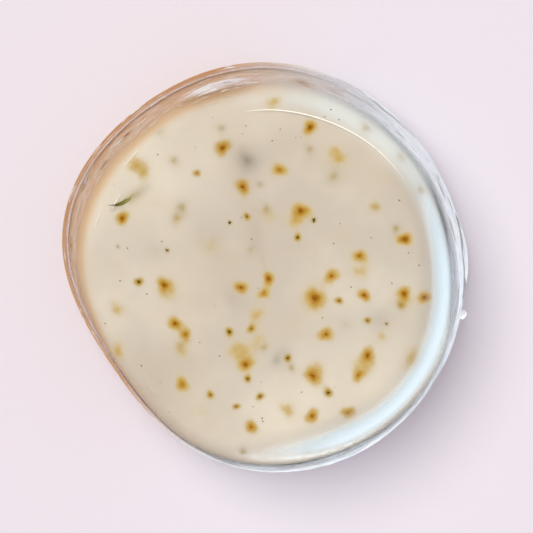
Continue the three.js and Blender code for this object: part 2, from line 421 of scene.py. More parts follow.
world = bpy.data.worlds.new("studio")
bpy.context.scene.world = world
sky = Palette(world)
direction = sky.node("ShaderNodeTexCoord", output="Generated")
split = sky.node("ShaderNodeVectorMath", {"operation": "DOT_PRODUCT"},
                 {0: direction, 1: TOWARDS_RIGHT}, "Value")
tint = sky.mix(split.smooth(-0.8, 0.8), LEFT_SKY, RIGHT_SKY)
seen = sky.node("ShaderNodeLightPath", output="Is Camera Ray")
sky.finish(sky.node("ShaderNodeBackground", {}, {"Color": sky.mix(seen, tint, BACKDROP)}),
           "ShaderNodeOutputWorld")
bpy.context.scene.view_settings.view_transform = "Standard"

# %% [markdown]
# ## The soap body
# The soap is one closed turned skin, fine enough to carry the stains point by point. Its top
# isn't dead flat: the film has pressed faint swells into it, and near the lower left a small
# crescent stands up. Stains spread from each dried bit as its colour bleeds into the soap, and
# bits that lie deeper show only as soft clouds, so the stains are worked out here for every
# point and stored as attributes.

# %% Soap profile and body
CRESCENT = (-18.5, -18.0)
CRESCENT_RADIUS = 3.2
DIMPLE = (-8.0, -19.6)


def swell(x, y):
    """Faint unevenness of the top face, in mm."""
    waves = 0.05 * np.sin(x / 5.1 + 1) * np.sin(y / 6.3) + 0.03 * np.sin((x + 1.4 * y) / 3.7)
    from_crescent = np.hypot(x - CRESCENT[0], y - CRESCENT[1])
    facing = hump(np.arctan2(y - CRESCENT[1], x - CRESCENT[0]), 200, 80)
    crescent = 0.22 * facing * np.exp(-((from_crescent - CRESCENT_RADIUS) / 0.35) ** 2)
    dimple = 0.10 * np.exp(-((x - DIMPLE[0]) ** 2 + (y - DIMPLE[1]) ** 2) / 0.4)
    return waves + crescent + dimple


def soap_profile(face_pitch, shoulder_steps, wall_pitch, foot_pitch):
    """The soap's profile from near the bottom pole to near the top pole."""
    shoulder = SOAP_TOP - SHOULDER_DROP
    foot = run((foot_pitch, FLOOR), (FOOT_RADIUS, FLOOR), foot_pitch)
    toe = rounding((FOOT_RADIUS, FLOOR + FOOT_ROUNDING), FOOT_ROUNDING, FOOT_ROUNDING, -90, 8)
    toe_top = (FOOT_RADIUS + FOOT_ROUNDING, FLOOR + FOOT_ROUNDING)
    lower = run(toe_top, (SOAP_RADIUS, SEAM), wall_pitch)
    wall = run((SOAP_RADIUS, SEAM), (SHOULDER_RADIUS, shoulder), wall_pitch)
    bend = rounding((FACE_RADIUS, shoulder), SHOULDER_RADIUS - FACE_RADIUS, SHOULDER_DROP,
                    0, shoulder_steps)
    face = run((FACE_RADIUS, SOAP_TOP), (0, SOAP_TOP), face_pitch)
    return softened(foot + toe + lower + wall + bend + face, 4)


def raise_face(points):
    """Adds the swells to the points of the top face."""
    on_top = np.clip((points[..., 2] - SOAP_TOP + 2) / 2, 0, 1)
    points[..., 2] += on_top * swell(points[..., 0], points[..., 1])


rings = turned(soap_profile(0.3, 24, 0.4, 3.0), True)
raise_face(rings)
soap_body = skin("soap_body", rings, (0, 0, FLOOR), (0, 0, SOAP_TOP + swell(0, 0)))
print("soap points", len(soap_body.data.vertices))

# %% Places of the dried bits
def seat_of(name):
    """Where a bit meets the soap, the way out, the way along it, and its length and width."""
    flat = np.array([tuple(v.co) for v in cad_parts[name].data.vertices]) / MM - AXIS
    middle = (flat.min(axis=0) + flat.max(axis=0)) / 2
    place, up, _, _ = soap_surface.find_nearest(Vector((middle + AXIS) * MM))
    up = np.array(up)
    level = flat - middle
    level = level - np.outer(level @ up, up)
    _, _, ways = np.linalg.svd(level, full_matrices=False)
    spans = [np.ptp(level @ way) for way in ways[:2]]
    return np.array(place) / MM - AXIS, up, ways[0], spans[0], spans[1]


soap_surface = BVHTree.FromObject(soap_body, bpy.context.evaluated_depsgraph_get())
kinds = ("petal_fleck", "herb_fleck", "dark_seed", "wall_fleck", "herb_leaf", "lavender_bud")
seats = {}
for kind in kinds:
    seats[kind] = {n: seat_of(n) for n in sorted(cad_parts) if n.startswith(kind)}
    print(kind, len(seats[kind]))

# How deep each bit lies, in the order of the names: 0 is at the surface, and at 1 only its
# cloud shows.
PETAL_DEPTHS = [
    0.35, 0.75, 0.45, 0.10, 0.10, 0.00, 0.30, 0.20, 0.25, 0.80, 0.65, 0.65, 0.45, 0.35,
    0.65, 0.50, 0.25, 0.10, 0.25, 0.20, 0.85, 0.50, 0.90, 0.10, 0.40, 0.35, 0.75, 0.60,
]
HERB_DEPTHS = [0.80, 0.50, 0.00, 0.00, 0.20, 0.30, 0.40, 0.50, 0.20, 0.70, 0.50, 0.60, 0.20, 0.60]
SEED_DEPTHS = [0.00, 0.10, 0.60, 0.50, 0.80]


# %% Stains from the dried bits
CLOUD_LOBES = (0.13, 0.08)
CLOUD_FALL = 1.35


def clouds(points, spots):
    """How strongly spots of (middle, reach, strength) stain each point, from 0 to 1.

    Each spot has two and three weak lobes, turned by its place in the list, so none is round.
    """
    clear = np.ones(len(points))
    for number, (middle, reach, strength) in enumerate(spots):
        near = np.abs(points - middle).max(axis=1) < 4 * reach
        aside = points[near] - middle
        way = np.arctan2(aside[:, 1], aside[:, 0])
        lobes = 1 + CLOUD_LOBES[0] * np.sin(2 * way + 1.9 * number)
        lobes += CLOUD_LOBES[1] * np.sin(3 * way + 2.7 * number)
        away = np.linalg.norm(aside, axis=1) / (reach * lobes)
        clear[near] *= 1 - strength * np.exp(-away ** CLOUD_FALL)
    return 1 - clear


def bleed_of(kind, depths, spread, share, strength, fade):
    """One spot for each bit of a kind: a deeper bit's cloud is wider and weaker."""
    spots = []
    for (place, _, _, length, width), depth in zip(seats[kind].values(), depths):
        reach = spread + share * (length + width) / 2 * (1 + 0.25 * depth)
        spots.append((place, reach, strength * (1 - fade * depth)))
    return spots


# Deeper bits as x, y, reach of the cloud and its strength, in mm; the first list is amber.
DEEP_AMBER = [
    (12.5, 21.5, 1.5, 0.40), (12.0, 23.0, 1.1, 0.28), (-2.0, -6.5, 1.5, 0.38),
    (-5.3, -12.6, 1.5, 0.36), (3.6, -23.9, 1.3, 0.42), (26.3, -14.8, 1.7, 0.50),
    (-10.3, 5.9, 2.3, 0.20), (-26.9, -5.3, 1.3, 0.38), (-27.0, -13.0, 1.3, 0.50),
    (1.0, 31.5, 1.3, 0.40), (-23.3, 20.5, 1.4, 0.46), (-22.2, 19.0, 1.1, 0.36),
    (5.2, 10.6, 1.4, 0.46), (16.6, 1.2, 1.5, 0.34), (-15.4, -13.2, 1.2, 0.30),
    (8.3, -3.7, 2.2, 0.34), (0.4, 11.0, 1.9, 0.20), (19.0, 13.0, 1.2, 0.24),
    (9.0, -16.8, 1.6, 0.34), (-1.6, -11.0, 1.8, 0.24), (17.5, -15.8, 1.7, 0.32),
    (24.4, -4.0, 1.7, 0.30), (-17.6, -2.2, 2.0, 0.26), (-4.6, -14.0, 1.5, 0.32),
    (20.5, -10.5, 1.0, 0.34), (-16.2, 9.8, 1.2, 0.16), (13.0, 8.0, 2.6, 0.14),
    (-6.0, 3.0, 2.4, 0.12), (4.5, -9.0, 2.6, 0.12), (-20.0, 14.0, 2.2, 0.12),
    (20.0, 18.0, 2.4, 0.14), (-12.0, -24.0, 2.2, 0.16),
]
DEEP_GREEN = [
    (-15.3, 12.8, 1.0, 0.42), (-16.2, 11.0, 0.8, 0.34), (-16.6, 21.2, 0.9, 0.36),
    (7.5, 23.1, 0.8, 0.40), (11.8, 18.3, 1.0, 0.40), (-8.2, 26.9, 0.7, 0.40),
    (17.6, 27.1, 0.9, 0.44), (24.2, 22.1, 0.9, 0.50), (27.6, 15.8, 0.8, 0.55),
    (-19.4, 26.5, 0.8, 0.40), (23.0, 8.9, 0.7, 0.55), (19.4, 12.8, 0.7, 0.34),
    (24.0, -5.0, 0.6, 0.60), (-0.2, 12.5, 0.8, 0.36), (-3.0, 5.3, 0.8, 0.30),
    (-1.4, 16.9, 0.7, 0.36), (4.3, -16.2, 0.7, 0.40), (-15.7, -12.1, 0.8, 0.34),
    (7.5, -31.7, 0.8, 0.50), (9.8, -31.5, 0.7, 0.50), (-4.5, -31.7, 0.7, 0.60),
    (-0.7, -12.5, 0.7, 0.34), (14.0, -8.4, 1.2, 0.16), (-20.0, 5.0, 1.6, 0.12),
]
DEEP_GREY = [
    (-3.6, 21.2, 1.7, 0.72), (1.6, -14.8, 1.0, 0.40), (20.0, -7.6, 2.0, 0.22),
    (-6.5, -3.5, 2.0, 0.16), (-10.0, 7.0, 2.4, 0.12), (3.0, -13.5, 1.4, 0.22),
]


def at_depth(rows, share=1.0):
    return [(np.array([x, y, SOAP_TOP]), reach, share * strength) for x, y, reach, strength in rows]


WALL_DEPTHS = [0.0] * len(seats["wall_fleck"])
# Kind, depths, spread and share of the size that make the reach, strength, and fade with depth.
BLEEDS = {
    "amber": [
        ("petal_fleck", PETAL_DEPTHS, 0.38, 0.30, 0.97, 0.42),
        ("wall_fleck", WALL_DEPTHS, 0.45, 0.75, 0.99, 0.0),
        ("herb_fleck", HERB_DEPTHS, 0.25, 0.26, 0.70, 0.3),
        ("dark_seed", SEED_DEPTHS, 0.20, 0.25, 0.30, 0.3),
    ],
    "green": [
        ("herb_fleck", HERB_DEPTHS, 0.12, 0.26, 0.80, 0.6),
        ("wall_fleck", WALL_DEPTHS, 0.2, 0.5, 0.75, 0.0),
    ],
    "grey": [("dark_seed", SEED_DEPTHS, 0.10, 0.22, 0.60, 0.5)],
}
soap_points = points_of(soap_body)
stains = {tint: [spot for row in rows for spot in bleed_of(*row)] for tint, rows in BLEEDS.items()}

# The leaf is at the surface at one end and sinks away towards the other.
leaf_place, _, leaf_way, leaf_length, leaf_width = seats["herb_leaf"]["herb_leaf"]
leaf_way = leaf_way * np.sign(leaf_way[0])
LEAF_STEPS = 12
for step in range(LEAF_STEPS):
    along = step / (LEAF_STEPS - 1)
    place = leaf_place + leaf_way * leaf_length * (1.25 * along - 0.5)
    stains["green"].append((place, 0.35 + 0.55 * along, 0.42 * (1 - 0.75 * along)))
stains["amber"].append((leaf_place + leaf_way * leaf_length * 0.2, 1.6, 0.12))

stains["amber"] += at_depth(DEEP_AMBER, 0.60) + at_depth(DEEP_GREEN, 0.40)
stains["green"] += at_depth(DEEP_GREEN, 0.85)
stains["grey"] += at_depth(DEEP_GREY)
for tint, spots in stains.items():
    mark(soap_body, tint, clouds(soap_points, spots))
    print(tint, "stains", len(spots))

# %% The painted warm reflection on the side
# The tan of the wall is painted warm reflection of its surroundings: strongest at the upper left,
# darker lower down and milky elsewhere. On the shoulder at the upper right a painted cool light
# makes it cooler and paler. On the face, broad pale patches show where the soap set with more air in
# it.
TAN_SIDE = (150, 108, 1.9)
TAN_FROM = 0.20
TAN_FULL = 1.6
TAN_LEAST = 0.12
PAINTED_COOL_SIDE = (38, 76, 1.6)
WALL_FADE = 9.0
PALE_PATCHES = [
    (-20, 17, 9, 0.9), (-8, 26, 5, 0.3), (20, -20, 9, 0.8), (4, -28, 10, 0.9), (-27, -3, 6, 0.3),
]
DULL_PATCHES = [
    (-20, -20, 10, 0.8), (22, 18, 11, 0.6), (-14, 2, 8, 0.4), (4, 4, 12, 0.5), (6, 24, 9, 0.6),
]

soap_angle = np.arctan2(soap_points[:, 1], soap_points[:, 0])
tan_share = TAN_LEAST + (1 - TAN_LEAST) * on_side(soap_angle, *TAN_SIDE)
down = np.clip((SOAP_TOP - soap_points[:, 2] - TAN_FROM) / (TAN_FULL - TAN_FROM), 0, 1)
mark(soap_body, "painted_tan", down * down * (3 - 2 * down) * tan_share)
# How far down the wall a point lies, for the darker part of the painted tan.
mark(soap_body, "low", np.clip((SOAP_TOP - SHOULDER_DROP - soap_points[:, 2]) / WALL_FADE, 0, 1))
shoulder_out = np.hypot(soap_points[:, 0], soap_points[:, 1]) - FACE_RADIUS - outline(soap_angle)
# Painted cool light of the window on the shoulder at the upper right.
painted_cool_light_side = on_side(soap_angle, *PAINTED_COOL_SIDE)
mark(soap_body, "painted_cool_light", painted_cool_light_side * np.clip((shoulder_out + 1.3) / 2.4, 0, 1))
mark(soap_body, "pale", clouds(soap_points, at_depth(PALE_PATCHES)))
mark(soap_body, "dull", clouds(soap_points, at_depth(DULL_PATCHES)))

# %% Soap material
CREAM = rgb(209, 201, 184)
PALE_CREAM = rgb(235, 227, 205)
WARM_CREAM = rgb(203, 191, 169)
PAINTED_COOL_LIGHT = rgb(224, 229, 222)
# Painted warm reflection: the wall's tan and its darker lower part stand in for warm surroundings.
PAINTED_TAN = rgb(214, 188, 150)
DARK_PAINTED_TAN = rgb(212, 172, 119)
HERB_STAIN = rgb(112, 94, 22)
SEED_STAIN = rgb(104, 98, 80)
STAIN_STOPS = [
    (0.0, rgb(212, 202, 180)), (0.10, rgb(209, 193, 153)), (0.22, rgb(204, 179, 118)),
    (0.30, rgb(198, 166, 92)), (0.42, rgb(190, 150, 62)), (0.55, rgb(180, 132, 33)),
    (0.70, rgb(166, 113, 10)), (0.85, rgb(147, 92, 0)), (1.0, rgb(124, 70, 0)),
]

milk = new_finish("soap_milk")
drift = milk.noise(55.0, 3.0, 0.55)
mottle = milk.noise(130.0, 2.0, 0.5)
cream = milk.mix(drift.smooth(0.35, 0.62) * 0.5, CREAM, PALE_CREAM)
cream = milk.mix(mottle.smooth(0.45, 0.75) * 0.4, cream, WARM_CREAM)
cream = milk.mix(milk.attribute("pale") * 0.8, cream, PALE_CREAM)
cream = milk.mix(milk.attribute("dull") * 0.8, cream, WARM_CREAM)
# Painted warm reflection on the wall, darker lower down.
painted_tan = milk.mix((milk.attribute("low") + (drift - 0.5) * 0.8).clamped(), PAINTED_TAN, DARK_PAINTED_TAN)
cream = milk.mix(milk.attribute("painted_tan"), cream, painted_tan)
# Painted cool light on the shoulder.
cream = milk.mix(milk.attribute("painted_cool_light") * 0.9, cream, PAINTED_COOL_LIGHT)
stain = milk.attribute("amber")
bleed = (stain + (milk.noise(1000.0, 3.0, 0.6) - 0.5) * stain * 1.1).clamped()
colour = milk.mix(bleed.smooth(0.0, 0.20), cream, milk.ramp(bleed, STAIN_STOPS))
colour = milk.mix(milk.attribute("green") * 0.85, colour, HERB_STAIN)
colour = milk.mix(milk.attribute("grey") * 0.85, colour, SEED_STAIN)
skin_bump = milk.bump(milk.noise(420.0, 4.0, 0.6), 0.12, 0.0004)
milk.finish(milk.surface({
    "Base Color": colour,
    "Roughness": milk.noise(260.0, 2.0, 0.5).smooth(0.2, 0.9) * 0.2 + 0.34,
    "Specular IOR Level": 0.2,
    "Subsurface Weight": 0.25,
    "Subsurface Radius": (1.0, 0.85, 0.65),
    "Subsurface Scale": 0.0007,
    "Normal": skin_bump,
}))
soap_body.data.materials.append(milk.owner)
spare(low_window, floor, soap_body)
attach(soap_body, "puck")
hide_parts("soap_puck")

# %% [markdown]
# ## Petals, herbs and seeds
# What shows of a dried bit is a small dark heart in the middle of its own stain: the rest of it
# is under the soap. So each bit is a ragged flake that stands up at its middle and dives at its
# edge, and its colour runs into the stain's. A function makes one flake from a seat, which is
# the place, the way out of the soap and the way along the bit, and a loop makes them all.

# %% One flake
FLAKE_RINGS = 9
FLAKE_SIDES = 28
FLAKE_THICK = 0.22
TURNS = np.linspace(0, 2 * np.pi, FLAKE_SIDES, endpoint=False)


def ragged(seed):
    """How far a flake's edge lies from its middle at each angle, about 1 on average."""
    return (1 + 0.20 * np.sin(2 * TURNS + 1.7 * seed) + 0.15 * np.sin(3 * TURNS + 2.9 * seed)
            + 0.08 * np.sin(5 * TURNS + 4.1 * seed) + 0.06 * np.sin(9 * TURNS + seed))


def flake(name, seat, seed, crown, sink, taper=0.0, bend=0.0, tilt=0.0):
    """A flake that rises by crown in its middle and sinks at its edge; taper points its ends."""
    place, up, way, length, width = seat
    across = np.cross(up, way)
    out = np.linspace(0, 1, FLAKE_RINGS + 1)[1:]
    share = np.concatenate([out, out[-2::-1]])[:, None]
    over = np.arange(len(share))[:, None] >= FLAKE_RINGS
    edge = ragged(seed) * share
    along = 0.5 * length * edge * np.cos(TURNS)
    aside = 0.5 * width * edge * np.sin(TURNS) * (1 - taper * np.cos(TURNS) ** 4)
    aside = aside + bend * (2 * along / length) ** 2
    wrinkle = 0.035 * np.sin(4 * TURNS + 2.3 * seed) * share * (1 - share) * 4
    top = crown - (crown + sink) * share ** 2 + wrinkle
    under = -sink - FLAKE_THICK * (1 - share ** 4)
    height = np.where(over, top, under) + tilt * along
    rings = place + along[..., None] * way + aside[..., None] * across + height[..., None] * up
    thing = skin(name, rings, place + up * (-sink - FLAKE_THICK), place + up * crown)
    heart = np.repeat(1 - share[:, 0], FLAKE_SIDES)
    mark(thing, "heart", np.append(heart, [1, 1]))
    end = np.clip(0.5 + along / length, 0, 1).ravel()
    mark(thing, "end", np.append(end, [0.5, 0.5]))
    return thing


# %% Finishes of the dried bits
def dried_finish(name, heart_colour, middle_colour, edge_colour, grain=2600.0):
    """Dark at the heart and the colour of its own stain at the edge, with papery fibres."""
    palette = new_finish(name)
    fibres = palette.noise(grain, 4.0, 0.65)
    heart = (palette.attribute("heart") + (fibres - 0.5) * 0.5).clamped()
    stops = [(0.45, edge_colour), (0.68, middle_colour), (0.92, heart_colour)]
    palette.finish(palette.surface({
        "Base Color": palette.ramp(heart, stops),
        "Roughness": fibres * 0.3 + 0.5,
        "Specular IOR Level": 0.2,
        "Normal": palette.bump(fibres, 0.5, 0.0001),
    }))
    return palette.owner


petal_skin = dried_finish("petal_skin", rgb(134, 77, 0), rgb(146, 90, 0), rgb(160, 106, 6))
herb_crumb = dried_finish("herb_crumb", rgb(76, 56, 0), rgb(92, 70, 2), rgb(126, 100, 30))
seed_coat = dried_finish("seed_coat", rgb(66, 56, 30), rgb(78, 67, 40), rgb(112, 98, 64), 1400.0)

leaf_blade = new_finish("leaf_blade")
veins = leaf_blade.noise(1.0, 3.0, 0.6, leaf_blade.stretched((500.0, 1900.0, 900.0)))
blade_colour = leaf_blade.ramp((leaf_blade.attribute("end") + (veins - 0.5) * 0.3).clamped(), [
    (0.0, rgb(72, 62, 6)), (0.3, rgb(106, 100, 26)),
    (0.6, rgb(146, 140, 72)), (0.9, rgb(188, 182, 136))])
leaf_blade.finish(leaf_blade.surface({
    "Base Color": blade_colour, "Roughness": veins * 0.3 + 0.45,
    "Normal": leaf_blade.bump(veins, 0.5, 0.0001)}))

bud_down = new_finish("bud_down")
down_hairs = bud_down.noise(3800.0, 3.0, 0.7)
bud_down.finish(bud_down.surface({
    "Base Color": bud_down.mix(down_hairs, rgb(104, 100, 112), rgb(150, 146, 150)),
    "Roughness": down_hairs * 0.2 + 0.7, "Normal": bud_down.bump(down_hairs, 0.6, 0.0002)}))


# %% All the flakes
def settle(thing, node, finish):
    thing.data.materials.append(finish)
    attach(thing, "puck")
    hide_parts(node)


SHOWING = 0.085
WALL_SHOWING = 0.245
SUNK = 0.30
SEED_SUNK = 0.12
HIDDEN_FROM = 1.35
kinds_of_bit = [
    ("petal_fleck", PETAL_DEPTHS, petal_skin, "dried_petal", SHOWING, SUNK),
    ("herb_fleck", HERB_DEPTHS, herb_crumb, "dried_herb", SHOWING, SUNK),
    ("dark_seed", SEED_DEPTHS, seed_coat, "dark_seed", SHOWING, SEED_SUNK),
    ("wall_fleck", WALL_DEPTHS, petal_skin, "dried_petal", WALL_SHOWING, SUNK),
]
seed = 0
for kind, depths, finish, slot, showing, sunk in kinds_of_bit:
    for (node, seat), depth in zip(seats[kind].items(), depths):
        seed += 1
        bit = flake(f"{node}_flake", seat, seed, showing * (1 - HIDDEN_FROM * depth), sunk)
        settle(bit, node, finish)
print("flakes", seed)

# %% Leaf and bud
STRAIGHT_UP = np.array([0.0, 0.0, 1.0])
leaf_seat = (leaf_place, STRAIGHT_UP, leaf_way, leaf_length, leaf_width)
leaf = flake("leaf_blade", leaf_seat, 0.0, 0.07, 0.10, taper=0.8, bend=0.9, tilt=-0.04)
settle(leaf, "herb_leaf", leaf_blade.owner)
bud = flake("bud_tip", seats["lavender_bud"]["lavender_bud"], 2.0, -0.05, 0.5, taper=0.3)
settle(bud, "lavender_bud", bud_down.owner)

# %% [markdown]
# ## Herb dust
# Crumbs too small to be pieces of their own are strewn over the face: dark grains a few tenths
# of a millimetre long, most of them half sunk. A node tree scatters points on the flat face,
# puts a small uneven crumb on each at its own size and turn, and joins them into one mesh. The
# class that builds it also builds the trees that fold and pleat the film further on.

# %% Node trees
class Tree:
    """A geometry node tree with named inputs."""

    def __init__(self, name, inputs):
        self.tree = bpy.data.node_groups.new(name, "GeometryNodeTree")
        face = self.tree.interface
        face.new_socket("Geometry", in_out="INPUT", socket_type="NodeSocketGeometry")
        face.new_socket("Geometry", in_out="OUTPUT", socket_type="NodeSocketGeometry")
        self.keys = {}
        for label, kind in inputs.items():
            socket = face.new_socket(label, in_out="INPUT", socket_type=f"NodeSocket{kind}")
            self.keys[label] = socket.identifier
        self.given = self.tree.nodes.new("NodeGroupInput")
        self.result = self.tree.nodes.new("NodeGroupOutput")

    def node(self, kind, settings=None, sockets=None, output=0):
        return add_node(self.tree, kind, settings, sockets).outputs[output]

    def maths(self, operation, first, second):
        return self.node("ShaderNodeMath", {"operation": operation}, {0: first, 1: second})

    def vector(self, operation, first, second, key=1):
        return self.node("ShaderNodeVectorMath", {"operation": operation}, {0: first, key: second})

    def named(self, name, kind="FLOAT"):
        return self.node("GeometryNodeInputNamedAttribute", {"data_type": kind}, {"Name": name})

    def close(self, geometry):
        whole = self.node("GeometryNodeRealizeInstances", {}, {"Geometry": geometry})
        painted = self.node("GeometryNodeSetMaterial", {},
                            {"Geometry": whole, "Material": self.given.outputs["Material"]})
        self.tree.links.new(painted, self.result.inputs["Geometry"])

    def made_from(self, thing, values):
        """The plain mesh that the tree makes from an object."""
        modifier = thing.modifiers.new(self.tree.name, "NODES")
        modifier.node_group = self.tree
        for label, value in values.items():
            modifier[self.keys[label]] = value
        graph = bpy.context.evaluated_depsgraph_get()
        plain = bpy.data.meshes.new_from_object(thing.evaluated_get(graph))
        thing.modifiers.clear()
        return plain


# %% Dust
DUST_SEED = 11
DUST_PER_M2 = 17000.0
DUST_SIZE = 0.17
FACE_BAND = 0.8
CLEAR_OF_STAINS = 0.05


def dust_tree():
    """Points strewn on the face, clear of the stains, with an uneven crumb on each."""
    tree = Tree("dust", {
        "Density": "Float", "Size": "Float", "Lowest": "Float", "Clear": "Float", "Seed": "Int",
        "Material": "Material",
    })
    given = tree.given.outputs
    place = tree.node("GeometryNodeInputPosition")
    split = tree.node("ShaderNodeSeparateXYZ", {}, {0: place}).node
    on_face = tree.maths("GREATER_THAN", split.outputs["Z"], given["Lowest"])
    clean = tree.maths("LESS_THAN", tree.named("amber"), given["Clear"])
    scattered = tree.node("GeometryNodeDistributePointsOnFaces", {}, {
        "Mesh": given["Geometry"], "Selection": tree.maths("MULTIPLY", on_face, clean),
        "Density": given["Density"], "Seed": given["Seed"]})
    crumb = tree.node("GeometryNodeMeshIcoSphere", {}, {"Radius": given["Size"], "Subdivisions": 2})
    shift = tree.node("ShaderNodeTexNoise", {}, {"Vector": place, "Scale": 9000.0}, "Color")
    centred = tree.vector("SUBTRACT", shift, (0.5, 0.5, 0.5))
    uneven = tree.vector("SCALE", centred, given["Size"], "Scale")
    ragged_crumb = tree.node("GeometryNodeSetPosition", {}, {"Geometry": crumb, "Offset": uneven})
    turn = tree.node("FunctionNodeRandomValue", {"data_type": "FLOAT_VECTOR"}, {
        "Min": (0.0, 0.0, 0.0), "Max": (0.3, 0.3, 6.28), "Seed": given["Seed"]})
    size = tree.node("FunctionNodeRandomValue", {"data_type": "FLOAT_VECTOR"}, {
        "Min": (0.35, 0.30, 0.30), "Max": (1.25, 0.75, 0.45), "Seed": given["Seed"]})
    strewn = tree.node("GeometryNodeInstanceOnPoints", {}, {
        "Points": scattered, "Instance": ragged_crumb, "Rotation": turn, "Scale": size})
    tree.close(strewn)
    return tree


crumb_skin = new_finish("dust_crumb")
crumb_tone = crumb_skin.noise(300.0, 1.0, 0.5)
crumb_skin.finish(crumb_skin.surface({
    "Base Color": crumb_skin.ramp(crumb_tone, [
        (0.35, rgb(70, 62, 34)), (0.5, rgb(96, 92, 84)), (0.65, rgb(130, 96, 40))]),
    "Roughness": crumb_tone * 0.2 + 0.6, "Specular IOR Level": 0.2}))
dust_mesh = dust_tree().made_from(soap_body, {
    "Density": DUST_PER_M2, "Size": DUST_SIZE * MM, "Lowest": (SOAP_TOP - FACE_BAND) * MM,
    "Clear": CLEAR_OF_STAINS, "Seed": DUST_SEED, "Material": crumb_skin.owner})
dust = link(dust_mesh, "herb_dust")
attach(dust, "puck")
print("dust triangles", len(dust_mesh.polygons))

# %% [markdown]
# ## The film
# Two clear webs meet in a seam round the side: the upper one is a cap, the lower one a cup. The
# film was shrunk with hot air, so it lies smooth on the top face and creases round the side,
# where there was too much of it. Each web is a turned skin with a fin at the seam. A node tree
# then folds it: long creases run round the puck because their noise is stretched that way, and
# each point's own slack says how deep they may be.

# %% Film measures
FILM = 0.08
FILM_LIFT = 0.45
FIN_GAP = 0.03
WALL_FILM = SOAP_RADIUS + FILM_LIFT
RIDGE_RADIUS = FACE_RADIUS - 0.5
EDGE_FROM = -0.45
EDGE_FULL = 0.05
SEAM_BAND = 1.8
FIN_BAND = 1.6
FLAP_AT = 3
FLAP_REACH = 17
FLAP_EXTRA = 0.7
FLAP_TUCK = 0.9
PAINTED_GLOW_SIDE = (-30, 80, 1.7)
FILM_TAN_SIDE = (160, 110, 2.2)
RIM = 36.0


def fin_wave(angle):
    """How far the seam wanders up and down, in mm."""
    return 0.30 * np.sin(5 * angle + 0.7) + 0.16 * np.sin(13 * angle) + 0.09 * np.sin(31 * angle + 2)


def looseness(angle, height):
    """0 where the film is drawn tight and 1 where it is slack enough to crumple."""
    drop = SOAP_TOP - height
    round_it = 0.20 + 1.1 * hump(angle, 20, 72) + 0.75 * hump(angle, 288, 62)
    crumple = 1.2 * hump(angle, 105, 15) * np.exp(-((drop - 4.5) / 2.6) ** 2)
    flat_base = np.clip((height - FLOOR - 0.3) / 1.5, 0, 1)
    return np.clip(round_it, 0, 1) * np.clip((drop - 0.8) / 2.2, 0, 1) * flat_base + crumple


def painted_window_glow(angle, radius, height):
    """A painted pale-blue glow of the window in a soft band over the shoulder, where the film is also
    milkier.
    """
    share = on_side(angle, *PAINTED_GLOW_SIDE)
    middle = FACE_RADIUS + 1.1 + 1.1 * hump(angle, -38, 50)
    width = np.where(radius < middle, 2.0, 1.15)
    return share * np.exp(-((radius - middle) / width) ** 2) * (height > SOAP_TOP - 9)


def fin(rings, side):
    """Turns the outermost rings of a web into a waved fin that is wider at the loose flap."""
    out = np.clip((np.hypot(rings[..., 0], rings[..., 1]) - outline(ANGLES) - WALL_FILM + 0.1)
                  / (FLANGE_RADIUS - WALL_FILM), 0, 1)
    near_seam = np.exp(-((rings[..., 2] - SEAM) / FIN_BAND) ** 2)
    flap = hump(ANGLES, FLAP_AT, FLAP_REACH)
    rings[..., 2] += near_seam * fin_wave(ANGLES) + side * FIN_GAP * out
    move = (out * FLAP_EXTRA - (1 - out) * near_seam * FLAP_TUCK) * flap
    rings[..., 0] += move * np.cos(ANGLES)
    rings[..., 1] += move * np.sin(ANGLES)
    return rings


# %% Film skins
def film_web(name, profile, side, **poles):
    """A web of film from its profile, marked with what the trees and the material read."""
    web = skin(name, fin(turned(profile, False), side), **poles)
    points = points_of(web)
    steps = np.linalg.norm(np.diff(profile, axis=0), axis=1)
    path = np.repeat(np.concatenate([[0], np.cumsum(steps)]), SEGMENTS)
    path = np.append(path, path[-1] if "last" in poles else 0)
    angle = np.arctan2(points[:, 1], points[:, 0])
    radius = np.hypot(points[:, 0], points[:, 1])
    out = radius - SOAP_RADIUS - outline(angle)
    level = np.exp(-((points[:, 2] - SEAM) / SEAM_BAND) ** 2)
    mark(web, "loose", looseness(angle, points[:, 2]))
    mark(web, "painted_window_glow", painted_window_glow(angle, radius, points[:, 2]))
    mark(web, "edge", np.clip((out - EDGE_FROM) / (EDGE_FULL - EDGE_FROM), 0, 1) * level)
    # Share of the painted warm reflection on the film, strongest on the tan side.
    mark(web, "painted_tan", on_side(angle, *FILM_TAN_SIDE))
    mark(web, "flow", np.stack([RIM * np.cos(angle), RIM * np.sin(angle), path], axis=1) * MM)
    return web, points


outside = grown(soap_profile(0.35, 22, 0.3, 3.0), FILM_LIFT)
flange = run((FLANGE_RADIUS, SEAM), (WALL_FILM, SEAM), 0.12)
upper_side = outside[outside[:, 1] > SEAM + 0.2]
smooth_top = upper_side[:, 0] < RIDGE_RADIUS - 1
keep = ~smooth_top | (np.arange(len(upper_side)) % 6 == 0)
upper_profile = np.vstack([softened(flange + [(WALL_FILM, SEAM + 0.1)], 1), upper_side[keep]])
lower_side = outside[outside[:, 1] < SEAM - 0.2]
lower_profile = np.vstack([lower_side, softened([(WALL_FILM, SEAM - 0.1)] + flange[::-1], 1)])

cap_pole = (0, 0, SOAP_TOP + FILM_LIFT)
cup_pole = (0, 0, FLOOR - FILM_LIFT)
film_cap, cap_points = film_web("film_cap", upper_profile, 1, last=cap_pole)
film_cup, cup_points = film_web("film_cup", lower_profile, -1, first=cup_pole)
raise_face(cap_points)
film_cap.data.vertices.foreach_set("co", ((cap_points + AXIS) * MM).ravel())
film_cap.data.update()
print("film points", len(cap_points), len(cup_points))


